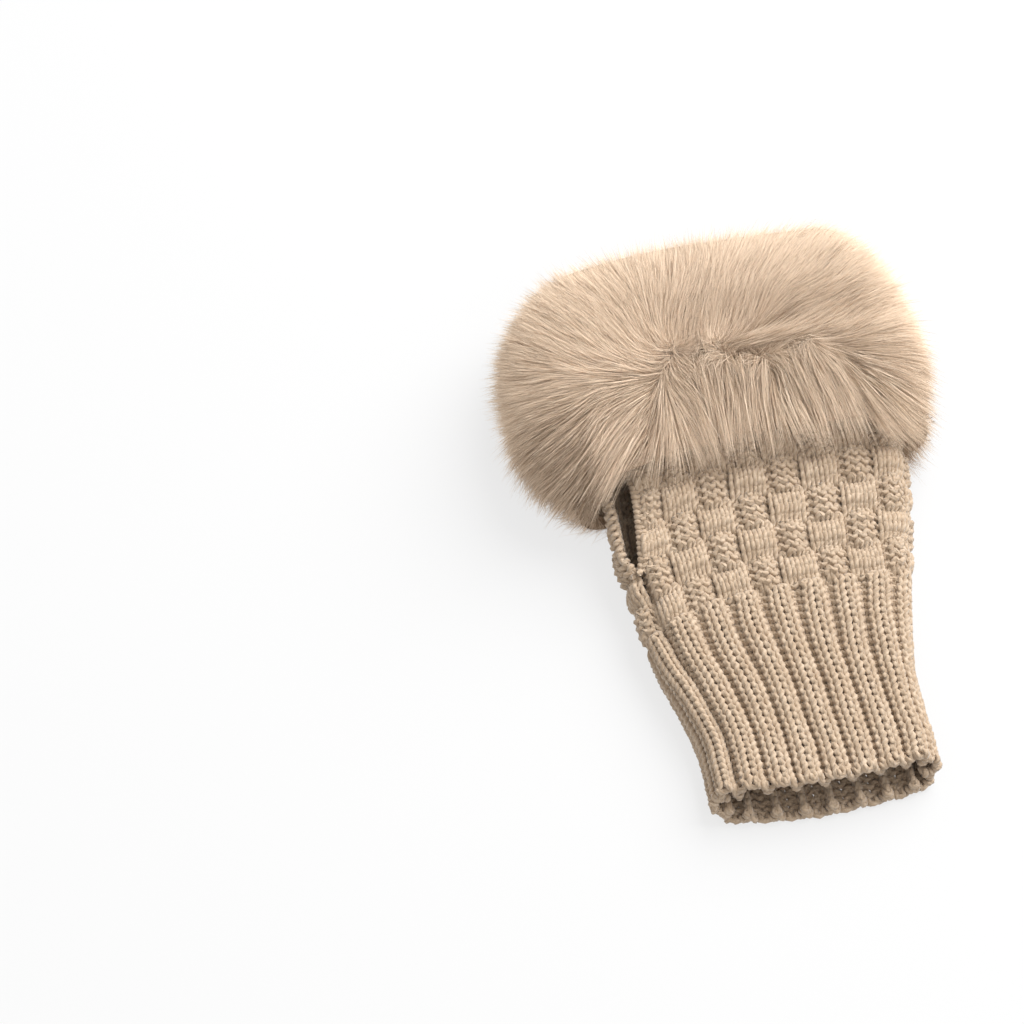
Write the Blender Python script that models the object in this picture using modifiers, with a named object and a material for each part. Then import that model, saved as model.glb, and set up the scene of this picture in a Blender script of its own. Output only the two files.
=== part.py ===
"""Fingerless glove of thick knitting with a deep fur cuff round its finger end, lying on its underside.

The glove is two pieces. The hand and wrist are one piece of knitting, folded round and joined along one
side by a seam that is left open for the thumb. The fur cuff is a strip of long pile sewn round the finger
end. +Y runs from the wrist to the fingers, +X to the right of the upper side and +Z up. The origin is the
middle of the underside. Run it with blender --background --python part.py.
"""
import math

import bmesh
import bpy
import numpy as np

# Sizes of the knitting, in metres
WRIST_WIDTH = 0.071         # across the flat wrist
HAND_WIDTH = 0.101          # across the flat hand, below the fur
RIB_LENGTH = 0.073          # wrist edge to the top of the ribbing
HAND_LENGTH = 0.105         # top of the ribbing to the finger end, which the fur hides
WRIST_THICKNESS = 0.0138    # both layers of the wrist and the air between them
HAND_THICKNESS = 0.0165
KNIT_WALL = 0.0030
CROWN = 0.0015              # how far the upper layer domes above its edges
WRIST_SETBACK = 0.0055      # how far the upper layer's wrist edge lies behind the lower one's
WRIST_BOW = 0.0035          # how far the wrist's edge lies back at its folds
SEAM_DRAW = 0.0095          # how far the seam pulls the rows of the left side towards the wrist
SEAM_INSET = 0.0090         # from the left fold's edge, round it, up to the seam
RIB_RELIEF = 0.0008         # a rib above the middle of the ribbing, and a groove below it
BLOCK_RELIEF = 0.0009       # the same for the woven-looking blocks of the hand
BLOCK_LENGTH = 0.0114

# Sizes of the thumb slit, in metres
SLIT_LENGTH = 0.045
SLIT_GAPE = 0.0095          # how far its two edges lie apart at the middle
SLIT_LIP = 0.0020           # how far its lower edge bulges out
SLIT_BELOW_BACKING = 0.002

# Sizes of the fur cuff, in metres
BACKING_WIDTH = 0.036       # the strip that carries the pile
PILE_LENGTH = 0.028         # how far the pile stands out past the finger edge
PILE_HEIGHT = 0.023         # the pile above the upper layer
PILE_LEFT = 0.027           # the pile out from the left fold
PILE_RIGHT = 0.0165
PILE_UNDERLAY = 0.0080      # the pile that the glove's weight flattens under it
LOCK_RIDGE = 0.0010         # half the height of a lock of pile above the creases beside it
LOCK_POINT = 0.0030         # how far a lock's tip reaches past the creases beside it
SEAT_GAP = 0.0004           # between the knitting and the cuff

RIBS = 16
COLUMNS_PER_RIB = 4
BLOCK_ROWS = 5
LOCKS = 28
COLUMNS_PER_LOCK = 4

# Sections across the knitted tube, wrist first. The columns are
#   along   0 at the wrist edge, 1 at the top of the ribbing, 2 at the finger end
#   widen   how far the width has gone from the wrist's to the hand's
#   swing   how far the middle lies to the right, as a share of HAND_WIDTH
#   swell   how far the thickness has gone from the wrist's to the hand's
#   lift    height of the underside as a share of PILE_UNDERLAY
#   seam    how far round the left fold the seam lies, as a share of SEAM_INSET
SECTION_COLUMNS = ("along", "widen", "swing", "swell", "lift", "seam")
SECTIONS = np.array([
    (0.00, 0.00, 0.000, 0.00, 0.00, 0.10),
    (0.31, 0.03, 0.004, 0.00, 0.00, 0.30),
    (0.57, 0.16, 0.000, 0.15, 0.00, 0.55),
    (0.80, 0.42, 0.000, 0.40, 0.00, 0.80),
    (1.04, 0.66, 0.016, 0.65, 0.06, 1.00),
    (1.26, 0.90, 0.033, 0.85, 0.32, 1.00),
    (1.47, 0.98, 0.054, 1.00, 0.74, 1.00),
    (1.65, 0.94, 0.050, 1.00, 0.95, 0.95),
    (2.00, 0.86, 0.035, 1.00, 1.00, 0.90),
])

# How much of the seam's draw is left at some places along the glove
DRAW_PLACES = (0.0, 1.0, 1.5, 2.0)
DRAW_SHARES = (0.0, 1.0, 0.8, 0.5)

# The cuff's outline in a cut along the glove, from the backing's wrist edge along the knitting to the
# finger edge, and back over the pile. The columns are
#   place   0 at the backing's wrist edge, 1 at its finger edge
#   reach   how far past that edge, as a share of the pile's reach there
#   rise    height above the knitting as a share of the pile's height
#   skin    1 on the pile's outside, 0 where the outline follows the knitting
#   pressed share of the pile's height taken off above, where it is parted and combed down to the wrist
CUFF_OUTLINE = (
    (0.00, 0.00, 0.00, 0, 0.00),
    (0.50, 0.00, 0.00, 0, 0.00),
    (1.00, 0.00, 0.00, 0, 0.00),
    (1.00, 0.50, 0.06, 0, 0.00),
    (1.00, 1.00, 0.16, 0, 0.00),
    (1.00, 0.90, 0.34, 1, 0.00),
    (1.00, 0.62, 0.60, 1, 0.00),
    (1.00, 0.26, 0.84, 1, 0.00),
    (0.90, 0.00, 0.96, 1, 0.00),
    (0.68, 0.00, 1.00, 1, 0.03),
    (0.40, 0.00, 1.00, 1, 0.16),
    (0.18, 0.00, 1.00, 1, 0.08),
    (0.00, 0.12, 0.94, 1, 0.17),
    (0.00, 0.50, 0.79, 1, 0.19),
    (0.00, 0.84, 0.54, 1, 0.11),
    (0.00, 1.00, 0.24, 1, 0.00),
    (0.00, 0.90, 0.04, 0, 0.00),
    (0.00, 0.40, 0.03, 0, 0.00),
)

# How far the pile hangs over the knitting past the backing's wrist edge, as a share of PILE_LENGTH
HANG_ABOVE = 0.72
HANG_LEFT = 0.80
HANG_RIGHT = 0.72

# The stretch of the upper side that is pressed, and how softly it ends, as shares of the half width
PRESSED_LEFT = -0.60
PRESSED_RIGHT = 0.90
PRESSED_FADE = 0.30

# Places of the knitting's rows of points up the ribbing, and up each block
RIB_ROWS = (0.0, 0.05, 0.30, 0.60, 0.90)
BLOCK_ROW_ENDS = (0.22, 0.78)

SLIT_UPPER_SHARE = 0.4      # of the gape, taken by the slit's upper edge
SLIT_STRETCH = 0.12         # of the way round that draws together beside the slit
LIP_STRETCH = 0.06          # of the way round that its lip takes

KNIT_COLOUR = (0.546, 0.407, 0.296, 1.0)
FUR_COLOUR = (0.474, 0.342, 0.238, 1.0)
KNIT_ROUGHNESS = 0.95
FUR_ROUGHNESS = 0.85

KNIT_LENGTH = RIB_LENGTH + HAND_LENGTH
BACKING_START = KNIT_LENGTH - BACKING_WIDTH
SLIT_MIDDLE = BACKING_START - SLIT_BELOW_BACKING - SLIT_LENGTH / 2


def along_of(length):
    """Place along the glove, as in SECTIONS, of a length from the wrist edge."""
    return np.where(length < RIB_LENGTH, length / RIB_LENGTH, 1 + (length - RIB_LENGTH) / HAND_LENGTH)


def section_value(along, name):
    """One column of SECTIONS between its rows, by a cubic with each row's mean slope, level past the ends."""
    places = SECTIONS[:, 0]
    values = SECTIONS[:, SECTION_COLUMNS.index(name)]
    slopes = np.gradient(values, places)
    along = np.clip(along, places[0], places[-1])
    row = np.clip(np.searchsorted(places, along, "right") - 1, 0, len(places) - 2)
    step = places[row + 1] - places[row]
    s = (along - places[row]) / step
    from_row = (1 + 2 * s) * (1 - s) ** 2 * values[row] + s * (1 - s) ** 2 * step * slopes[row]
    to_next = s * s * (3 - 2 * s) * values[row + 1] + s * s * (s - 1) * step * slopes[row + 1]
    return from_row + to_next


def oval_length(half_width, half_thick):
    return 2 * math.pi * half_thick + 4 * (half_width - half_thick)


def flat_oval(run, half_width, half_thick):
    """Direction outwards, and the fold's middle, for a run round a flat oval from its left edge over its top.

    The oval is two half circles of radius half_thick joined by two straight lines. A point of it stands at
    the fold's middle plus half_thick times the cosine and sine of the direction.
    """
    quarter = math.pi * half_thick / 2
    flat = 2 * (half_width - half_thick)
    top = np.clip((run - quarter) / flat, 0, 1)
    below = np.clip((run - 3 * quarter - flat) / flat, 0, 1)
    first = np.clip(run / quarter, 0, 1)
    right = np.clip((run - quarter - flat) / quarter, 0, 2)
    last = np.clip((run - 3 * quarter - 2 * flat) / quarter, 0, 1)
    direction = math.pi - (first + right + last) * math.pi / 2
    return direction, (half_width - half_thick) * (2 * top - 2 * below - 1)


def tube_size(along):
    """Half width and half thickness of the tube's smooth outer face."""
    half_width = (WRIST_WIDTH + section_value(along, "widen") * (HAND_WIDTH - WRIST_WIDTH)) / 2
    thick = WRIST_THICKNESS + section_value(along, "swell") * (HAND_THICKNESS - WRIST_THICKNESS)
    return half_width, thick / 2


def tube_point(direction, fold, length):
    """Point of the smooth outer face, its outward normal and its place across, by direction round a fold.

    The upper layer domes by CROWN. The wrist's edge is set back above and at its folds, and the rows of the
    left side are pulled towards the wrist by the seam, most of all at the top of the ribbing.
    """
    along = along_of(length)
    half_width, half_thick = tube_size(along)
    x = fold + half_thick * np.cos(direction)
    share = np.clip(x / half_width, -1, 1)
    dome = CROWN * np.clip(np.sin(direction), 0, 1) * (1 - share ** 2)
    setback = WRIST_SETBACK * (1 + np.sin(direction)) / 2 + WRIST_BOW * share ** 2
    draw = SEAM_DRAW * np.clip(-share, 0, 1) ** 2 * np.interp(along, DRAW_PLACES, DRAW_SHARES)
    x = x + section_value(along, "swing") * HAND_WIDTH
    y = length + setback * np.clip(1 - along, 0, 1) - draw
    underside = section_value(along, "lift") * PILE_UNDERLAY + RIB_RELIEF
    z = underside + half_thick * (1 + np.sin(direction)) + dome
    normal = np.stack([np.cos(direction), 0 * x, np.sin(direction)], -1)
    return np.stack([x, y, z], -1), normal, share


def slit_gape(length):
    """Share of the slit's full gape at a length from the wrist edge: half an ellipse, 0 past its ends."""
    from_middle = (length - SLIT_MIDDLE) / (SLIT_LENGTH / 2)
    return np.sqrt(np.clip(1 - from_middle ** 2, 0, None))


def relief(column, length):
    """Height of the knitting's pattern: two columns up and two down for the ribs, then the hand's blocks.

    A block of one kind swells halfway up and a block of the other kind halfway across. They alternate like
    the squares of a chessboard. A column between two blocks takes the mean of both.
    """
    if length < RIB_LENGTH:
        return RIB_RELIEF * math.sqrt(2) * np.cos(2 * math.pi * column / COLUMNS_PER_RIB + 3 * math.pi / 4)
    block_row, up = divmod((length - RIB_LENGTH) / BLOCK_LENGTH, 1)
    if block_row >= BLOCK_ROWS:
        return 0.0 * column
    heights = []
    for beside in (-0.01, 0.01):
        block, across = np.divmod((column + beside) / COLUMNS_PER_RIB, 1)
        upright = (block + block_row) % 2 == 0
        heights.append(2 * np.where(upright, math.sin(math.pi * up), np.sin(math.pi * across)) - 1)
    return BLOCK_RELIEF * (heights[0] + heights[1]) / 2


def material(name, colour, roughness):
    made = bpy.data.materials.new(name)
    made.use_nodes = True
    shader = made.node_tree.nodes["Principled BSDF"]
    shader.inputs["Base Color"].default_value = colour
    shader.inputs["Roughness"].default_value = roughness
    shader.inputs["Metallic"].default_value = 0.0
    return made


def grid_faces(rows, columns, closed):
    """Four-sided faces between neighbouring points of a grid stored by rows, which may close both ways."""
    row = np.arange(rows if closed else rows - 1)[:, None]
    column = np.arange(columns if closed else columns - 1)[None, :]
    next_row = (row + 1) % rows
    next_column = (column + 1) % columns
    corners = np.broadcast_arrays(row * columns + column, row * columns + next_column,
                                  next_row * columns + next_column, next_row * columns + column)
    return np.stack(corners, -1).reshape(-1, 4)


def add_piece(name, points, faces, made_of, collection):
    mesh = bpy.data.meshes.new(name)
    mesh.from_pydata(points.reshape(-1, 3).tolist(), [], faces.tolist())
    mesh.materials.append(made_of)
    piece = bpy.data.objects.new(name, mesh)
    collection.objects.link(piece)
    return piece


def knit_row(share, length):
    """One row of the knitting's smooth outer face, the gaping slit and its lip included."""
    along = along_of(length)
    half_width, half_thick = tube_size(along)
    around = oval_length(half_width, half_thick)
    gape = slit_gape(length)
    after = np.clip(1 - share / SLIT_STRETCH, 0, 1) ** 2
    before = np.clip(1 - (1 - share) / SLIT_STRETCH, 0, 1) ** 2
    spread = SLIT_UPPER_SHARE * after - (1 - SLIT_UPPER_SHARE) * before
    run = section_value(along, "seam") * SEAM_INSET + share * around + SLIT_GAPE * gape * spread
    direction, fold = flat_oval(run % around, half_width, half_thick)
    place, normal, _ = tube_point(direction, fold, length)
    lower_lip = np.clip(1 - (1 - share) / LIP_STRETCH, 0, 1)
    upper_lip = SLIT_UPPER_SHARE * np.clip(1 - share / LIP_STRETCH, 0, 1)
    lip = lower_lip + upper_lip
    return place + normal * (SLIT_LIP * gape * lip)[:, None], normal


def knit_hand_and_wrist(collection):
    """The knitting: an open sheet folded round to meet itself at the seam, given a wall, then its pattern.

    The sheet's first and last columns are the two sides of the seam. They are one column where it is sewn,
    and lie apart along the thumb slit.
    """
    lengths = [RIB_LENGTH * place for place in RIB_ROWS]
    lengths += [RIB_LENGTH + BLOCK_LENGTH * (block + end)
                for block in range(BLOCK_ROWS) for end in BLOCK_ROW_ENDS]
    lengths = [length for length in lengths if length < BACKING_START - BLOCK_LENGTH * BLOCK_ROW_ENDS[0]]
    lengths += [BACKING_START, BACKING_START + BACKING_WIDTH / 2, KNIT_LENGTH]
    column = np.arange(RIBS * COLUMNS_PER_RIB + 1)
    share = column / column[-1]
    rows = [knit_row(share, length) for length in lengths]
    points = np.array([place for place, _ in rows])
    patterns = np.array([normal * relief(column, length)[:, None]
                         for (_, normal), length in zip(rows, lengths)])
    faces = grid_faces(len(lengths), len(column), closed=False)
    knit = add_piece("knit_hand_and_wrist", points, faces,
                     material("knitting", KNIT_COLOUR, KNIT_ROUGHNESS), collection)
    pattern_data = knit.data.attributes.new("pattern", "FLOAT_VECTOR", "POINT").data
    pattern_data.foreach_set("vector", patterns.ravel())
    sheet = bmesh.new()
    sheet.from_mesh(knit.data)
    bmesh.ops.remove_doubles(sheet, verts=sheet.verts, dist=1e-6)
    sheet.to_mesh(knit.data)
    sheet.free()
    wall = knit.modifiers.new("wall", "SOLIDIFY")
    wall.thickness = KNIT_WALL
    wall.offset = -1
    walled = bpy.data.meshes.new_from_object(knit.evaluated_get(bpy.context.evaluated_depsgraph_get()))
    knit.modifiers.clear()
    knit.data = walled
    place = np.empty(len(walled.vertices) * 3)
    pattern = np.empty(len(walled.vertices) * 3)
    walled.vertices.foreach_get("co", place)
    walled.attributes["pattern"].data.foreach_get("vector", pattern)
    walled.vertices.foreach_set("co", place + pattern)
    walled.update()
    return knit


def lock_ridge(share, offset):
    """About 1 on the middle of a lock and -1 in the creases beside it, each lock a little unlike others."""
    turn = share * LOCKS + offset
    size = 0.8 + 0.2 * np.sin(2.4 * np.floor(turn + 0.5))
    return size * np.cos(2 * math.pi * turn)


def cuff_row(share, place, reach, rise, skin, pressed):
    """One line of the cuff round the glove, for a row of CUFF_OUTLINE.

    Its points stand out square to the tube, spread evenly round a line halfway up the pile. Under the glove
    the pile has only the room above the floor, which flattens its outside.
    """
    half_width, half_thick = tube_size(along_of(BACKING_START + place * BACKING_WIDTH))
    middle = PILE_HEIGHT / 2
    around = oval_length(half_width + middle, half_thick + middle)
    direction, fold = flat_oval(share * around, half_width + middle, half_thick + middle)
    fold = fold / (half_width - half_thick)
    side = np.cos(direction) ** 2
    left = np.cos(direction) < 0
    ridge = lock_ridge(share, place / 2)
    if place < 1:
        hang = HANG_ABOVE * (1 - side) + np.where(left, HANG_LEFT, HANG_RIGHT) * side
        past = -reach * (hang * PILE_LENGTH + reach * LOCK_POINT * (ridge - 1) / 2)
    else:
        past = reach * (PILE_LENGTH + reach * LOCK_POINT * (ridge - 1) / 2)
    length = BACKING_START + place * BACKING_WIDTH + past
    half_width, half_thick = tube_size(along_of(length))
    base, normal, across = tube_point(direction, fold * (half_width - half_thick), length)
    pile = PILE_HEIGHT * (1 - side) + np.where(left, PILE_LEFT, PILE_RIGHT) * side
    if skin:
        shallow = np.clip((across - PRESSED_LEFT) / PRESSED_FADE + 0.5, 0, 1)
        shallow = shallow * np.clip((PRESSED_RIGHT - across) / PRESSED_FADE + 0.5, 0, 1)
        shallow = shallow * np.clip(np.sin(direction), 0, 1)
        height = (rise - pressed * shallow) * pile + ridge * LOCK_RIDGE
    else:
        room = base[:, 2] / np.maximum(-normal[:, 2], 0.1)
        height = SEAT_GAP + rise * np.minimum(pile, room)
        if place < 1:
            near_slit = np.clip(-2 * across - 0.6, 0, 1)
            height = height + np.sign(reach) * (BLOCK_RELIEF + SLIT_LIP * slit_gape(length) * near_slit)
    points = base + normal * height[:, None]
    points[:, 2] = np.maximum(points[:, 2], 0)
    return points


def fur_cuff(collection):
    """The cuff: its outline carried round the finger end, deeper at the sides and flattened underneath."""
    columns = LOCKS * COLUMNS_PER_LOCK
    share = np.arange(columns) / columns
    points = np.array([cuff_row(share, *row) for row in CUFF_OUTLINE])
    faces = grid_faces(len(CUFF_OUTLINE), columns, closed=True)
    cuff = add_piece("fur_cuff", points, faces, material("fur", FUR_COLOUR, FUR_ROUGHNESS), collection)
    body = bmesh.new()
    body.from_mesh(cuff.data)
    bmesh.ops.recalc_face_normals(body, faces=body.faces)
    body.to_mesh(cuff.data)
    body.free()
    return cuff


def stand_on_origin(pieces):
    """Moves the meshes so that the origin is the middle of the underside."""
    places = {piece: np.array([vertex.co for vertex in piece.data.vertices]) for piece in pieces}
    every = np.concatenate(list(places.values()))
    middle = (every.min(0) + every.max(0)) / 2
    for piece, place in places.items():
        place -= (middle[0], middle[1], every[:, 2].min())
        piece.data.vertices.foreach_set("co", place.ravel())
        piece.data.update()


def main():
    for thing in list(bpy.data.objects):
        bpy.data.objects.remove(thing)
    collection = bpy.data.collections.new("fingerless_glove")
    bpy.context.scene.collection.children.link(collection)
    stand_on_origin([knit_hand_and_wrist(collection), fur_cuff(collection)])


main()
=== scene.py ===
"""Looks of a fingerless glove knitted in thick yarn, with a deep fur cuff round its finger end.

The glove lies flat on its underside. +Y runs from the wrist to the fingers, +X to the right of the upper side
and +Z up, in metres. Each section makes one piece, in the order in which the glove is put together.
"""
import math

import bpy
import numpy as np
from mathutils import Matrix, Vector


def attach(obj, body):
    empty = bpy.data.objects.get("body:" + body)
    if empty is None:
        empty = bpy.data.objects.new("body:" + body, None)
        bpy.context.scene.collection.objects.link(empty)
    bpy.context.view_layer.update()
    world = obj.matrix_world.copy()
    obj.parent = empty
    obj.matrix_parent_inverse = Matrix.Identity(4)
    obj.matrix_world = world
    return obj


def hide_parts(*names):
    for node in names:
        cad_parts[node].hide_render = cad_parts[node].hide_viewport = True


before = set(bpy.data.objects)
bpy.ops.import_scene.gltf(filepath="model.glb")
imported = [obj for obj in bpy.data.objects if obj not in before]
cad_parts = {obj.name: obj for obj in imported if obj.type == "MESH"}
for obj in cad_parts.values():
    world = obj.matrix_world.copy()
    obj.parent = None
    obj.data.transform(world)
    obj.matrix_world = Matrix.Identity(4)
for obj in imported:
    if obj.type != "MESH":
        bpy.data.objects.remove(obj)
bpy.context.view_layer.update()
chance = np.random.default_rng(7)

# View
# The camera stands in front of the wrist and looks down through a long lens. The glove lies right of the
# picture's middle, with bare table on its left.
CAMERA_PLACE = (-0.1714, -0.4798, 0.7372)
CAMERA_LOOK = (0.1085, 0.5632, -0.8192)
CAMERA_LENS = 94.92
CAMERA_SENSOR = 36.0
CAMERA_NEAREST = 0.01

view = bpy.data.cameras.new("view")
view.lens = CAMERA_LENS
view.sensor_width = CAMERA_SENSOR
view.sensor_fit = "HORIZONTAL"
view.clip_start = CAMERA_NEAREST
camera = bpy.data.objects.new("view", view)
camera.location = CAMERA_PLACE
camera.rotation_euler = Vector(CAMERA_LOOK).to_track_quat("-Z", "Y").to_euler()
bpy.context.scene.collection.objects.link(camera)
bpy.context.scene.camera = camera

# Ribbed wrist
# Thick soft yarn, knitted two stitches plain and two purl all the way round, so that it draws in. Each course
# is one length of yarn, looped through the course below, with both its ends in the seam on the left.
WRIST_MIDDLE = (0.00073, -0.103)    # where the lower layer's wrist edge has its middle
WRIST_WIDTH = 0.071
HAND_WIDTH = 0.101
RIB_LENGTH = 0.073
HAND_LENGTH = 0.105
WRIST_THICKNESS = 0.0138
HAND_THICKNESS = 0.0165
TABLE_GAP = 0.0008      # from the table to the outer face's lowest line
CROWN = 0.0015          # how far the upper layer domes
WRIST_SETBACK = 0.0042  # how far the upper wrist edge lies behind the lower one
WRIST_BOW = 0.0035      # how far the wrist edge falls back at its folds
SEAM_DRAW = 0.0095      # how far the seam draws its courses towards the wrist
SEAM_INSET = 0.0090     # the seam's place round the left fold, below the top
PILE_UNDERLAY = 0.0080  # how far the fur below the glove lifts its finger end
SLIT_LENGTH = 0.045
SLIT_GAPE = 0.0095
SLIT_UPPER_SHARE = 0.4  # how much of the gape the upper edge gives way, and the lower one the rest
SLIT_STRETCH = 0.12     # the knitting on each side that closes up for it, as a share of the way round
SLIT_LIP = 0.0020       # how far the lower edge bulges out
UPPER_LIP = 0.4         # the upper edge's bulge, as a share of the lower one's
LIP_STRETCH = 0.06      # the knitting on each side that bulges, as a share of the way round
SLIT_MIDDLE = 0.1175    # from the wrist edge
WALES = 72
RIB_COURSES = 26
RIB_COURSE = RIB_LENGTH / RIB_COURSES
POINTS_PER_STITCH = 10
YARN_SIDES = 5
YARN_RADIUS = 0.00101
LOOP_REACH = 0.76       # how far a loop reaches up and down, in courses
LOOP_DEPTH = 0.00055    # how far its legs stand before its head
HEAD_END = 0.125        # where the loop's head ends, in stitches from its middle
FOOT_START = 0.375      # where its foot starts, likewise
YARN_INSET = 0.00120    # the middle of the yarn below the outer face
RIB_LEAN = 0.235        # how far a rib's loops lean over their neighbours, in stitches
RIB_STITCHES = 4        # from one rib to the next
RIB_MIDDLE = 2.5        # the place of the first rib's middle, in stitches
RIB_CREST = 0.0012      # the middle of a rib above the outer face
RIB_POWER = 1.5         # rounds the rib and narrows the groove
SEAM_DEPTH = 0.0030
SEAM_STITCHES = 0.80    # the width of the seam's groove, in stitches
SEAM_END = 2.5          # the groove has gone where the slit gapes by 1 part in this many
UNEVEN = 0.00024        # how far a loop lies off its place
UNEVEN_SIZE = 0.0026
UNEVEN_SEEDS = (21, 22, 23)
PULLED = 0.00055        # how far whole groups of stitches lie off theirs
PULLED_SIZE = 0.011
PULLED_SEEDS = (24, 25, 26)
LAST_LOOP = 0.001       # the loops end so far from the finger edge

# How much of a purl stitch's width a plain one takes, and how deep the grooves are, along the ribbing
RIB_PLACES = (0.0, 0.040, 0.064, 0.073)
RIB_SPREADS = (0.63, 0.58, 0.42, 0.22)
RIB_GROOVES = (0.0031, 0.0028, 0.0021, 0.0013)

# Sections across the knitting, wrist first: place along the glove (1 at the top of the ribbing, 2 at the
# finger end), widening, swing to the right, swelling, lift and the seam's place round the left fold
SECTION_COLUMNS = ("along", "widen", "swing", "swell", "lift", "seam")
SECTIONS = np.array([
    (0.00, 0.00, 0.000, 0.00, 0.00, 1.20),
    (0.31, 0.03, 0.004, 0.00, 0.00, 1.15),
    (0.57, 0.16, 0.000, 0.15, 0.00, 1.12),
    (0.80, 0.42, 0.000, 0.40, 0.00, 1.06),
    (1.04, 0.66, 0.016, 0.65, 0.06, 1.00),
    (1.26, 0.90, 0.033, 0.85, 0.32, 1.00),
    (1.47, 0.98, 0.054, 1.00, 0.74, 1.00),
    (1.65, 0.94, 0.050, 1.00, 0.95, 0.95),
    (2.00, 0.86, 0.035, 1.00, 1.00, 0.90),
])
DRAW_PLACES = (0.0, 1.0, 1.5, 2.0)
DRAW_SHARES = (0.0, 1.0, 0.8, 0.5)


def along_of(length):
    """Place along the glove of a length from the wrist edge, rising evenly in each of its two parts.

    It is 0 at the wrist edge, 1 at the top of the ribbing and 2 at the finger edge.
    """
    return np.where(length < RIB_LENGTH, length / RIB_LENGTH, 1 + (length - RIB_LENGTH) / HAND_LENGTH)


def section_value(along, name):
    """One column of SECTIONS between its rows, by a cubic that keeps each row's mean slope."""
    places = SECTIONS[:, 0]
    values = SECTIONS[:, SECTION_COLUMNS.index(name)]
    slopes = np.gradient(values, places)
    along = np.clip(along, places[0], places[-1])
    row = np.clip(np.searchsorted(places, along, "right") - 1, 0, len(places) - 2)
    step = places[row + 1] - places[row]
    part = (along - places[row]) / step
    from_row = (1 + 2 * part) * (1 - part) ** 2 * values[row] + part * (1 - part) ** 2 * step * slopes[row]
    to_next = part * part * (3 - 2 * part) * values[row + 1]
    to_next = to_next + part * part * (part - 1) * step * slopes[row + 1]
    return from_row + to_next


def tube_size(along):
    """Half width and half thickness of the flat tube's outer face."""
    half_width = (WRIST_WIDTH + section_value(along, "widen") * (HAND_WIDTH - WRIST_WIDTH)) / 2
    half_thick = (WRIST_THICKNESS + section_value(along, "swell") * (HAND_THICKNESS - WRIST_THICKNESS)) / 2
    return half_width, half_thick


def oval_length(half_width, half_thick):
    """Way round a flat oval: a circle of radius half_thick and four straight halves."""
    return 2 * math.pi * half_thick + 4 * (half_width - half_thick)


def flat_oval(run, half_width, half_thick):
    """Direction outwards, and the fold's middle, for a run round a flat oval from its left edge over the top.

    The oval is two half circles of radius half_thick, joined by two straight lines.
    """
    quarter = math.pi * half_thick / 2
    flat = 2 * (half_width - half_thick)
    top = np.clip((run - quarter) / flat, 0, 1)
    below = np.clip((run - 3 * quarter - flat) / flat, 0, 1)
    first = np.clip(run / quarter, 0, 1)
    right = np.clip((run - quarter - flat) / quarter, 0, 2)
    last = np.clip((run - 3 * quarter - 2 * flat) / quarter, 0, 1)
    direction = math.pi - (first + right + last) * math.pi / 2
    return direction, (half_width - half_thick) * (2 * top - 2 * below - 1)


def tube_point(direction, fold, length):
    """Point, outward normal and place across of the outer face, for a direction round a fold.

    The upper layer domes, the wrist's edge is set back above and at its folds, and the seam draws the
    courses of the left side towards the wrist.
    """
    along = along_of(length)
    half_width, half_thick = tube_size(along)
    x = fold + half_thick * np.cos(direction)
    share = np.clip(x / half_width, -1, 1)
    dome = CROWN * np.clip(np.sin(direction), 0, 1) * (1 - share ** 2)
    setback = WRIST_SETBACK * (1 + np.sin(direction)) / 2 + WRIST_BOW * share ** 2
    draw = SEAM_DRAW * np.clip(-share, 0, 1) ** 2 * np.interp(along, DRAW_PLACES, DRAW_SHARES)
    x = x + section_value(along, "swing") * HAND_WIDTH + WRIST_MIDDLE[0]
    y = length + setback * np.clip(1 - along, 0, 1) - draw + WRIST_MIDDLE[1]
    z = section_value(along, "lift") * PILE_UNDERLAY + TABLE_GAP + half_thick * (1 + np.sin(direction)) + dome
    normal = np.stack([np.cos(direction), 0 * x, np.sin(direction)], -1)
    return np.stack([x, y, z], -1), normal, share


def risen(values, start, width):
    """Share risen evenly from 0 at the start to 1 a width further on, or back for a width below 0."""
    return np.clip((values - start) / width, 0, 1)


def slit_gape(length):
    """Share of the thumb slit's gape at a length from the wrist edge: half an ellipse, 0 past its ends."""
    return np.sqrt(np.clip(1 - ((length - SLIT_MIDDLE) / (SLIT_LENGTH / 2)) ** 2, 0, None))


def knit_face(stitch, length):
    """Point and normal of the knitting's outer face, for a place round it in stitches from the seam.

    Beside the slit the stitches draw together by the square of their nearness to it, and its edges bulge
    out by their nearness, the lower one most.
    """
    share = stitch / WALES
    along = along_of(length)
    half_width, half_thick = tube_size(along)
    around = oval_length(half_width, half_thick)
    gape = slit_gape(length)
    upper_near = np.clip(1 - share / SLIT_STRETCH, 0, 1)
    lower_near = np.clip(1 - (1 - share) / SLIT_STRETCH, 0, 1)
    spread = SLIT_UPPER_SHARE * upper_near ** 2 - (1 - SLIT_UPPER_SHARE) * lower_near ** 2
    run = section_value(along, "seam") * SEAM_INSET + share * around + SLIT_GAPE * gape * spread
    direction, fold = flat_oval(run % around, half_width, half_thick)
    place, normal, _ = tube_point(direction, fold, length)
    lip = np.clip(1 - (1 - share) / LIP_STRETCH, 0, 1) + UPPER_LIP * np.clip(1 - share / LIP_STRETCH, 0, 1)
    return place + normal * (SLIT_LIP * gape * lip)[..., None], normal


def rib_place(stitch, length):
    """Stitches moved sideways so that the plain ones widen and the purl ones narrow towards the wrist.

    The shift is a sine from rib to rib, nothing at the middle of a rib and of a groove.
    """
    turn = 2 * math.pi * (stitch - RIB_MIDDLE) / RIB_STITCHES
    return stitch + np.interp(length, RIB_PLACES, RIB_SPREADS) * np.sin(turn)


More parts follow.
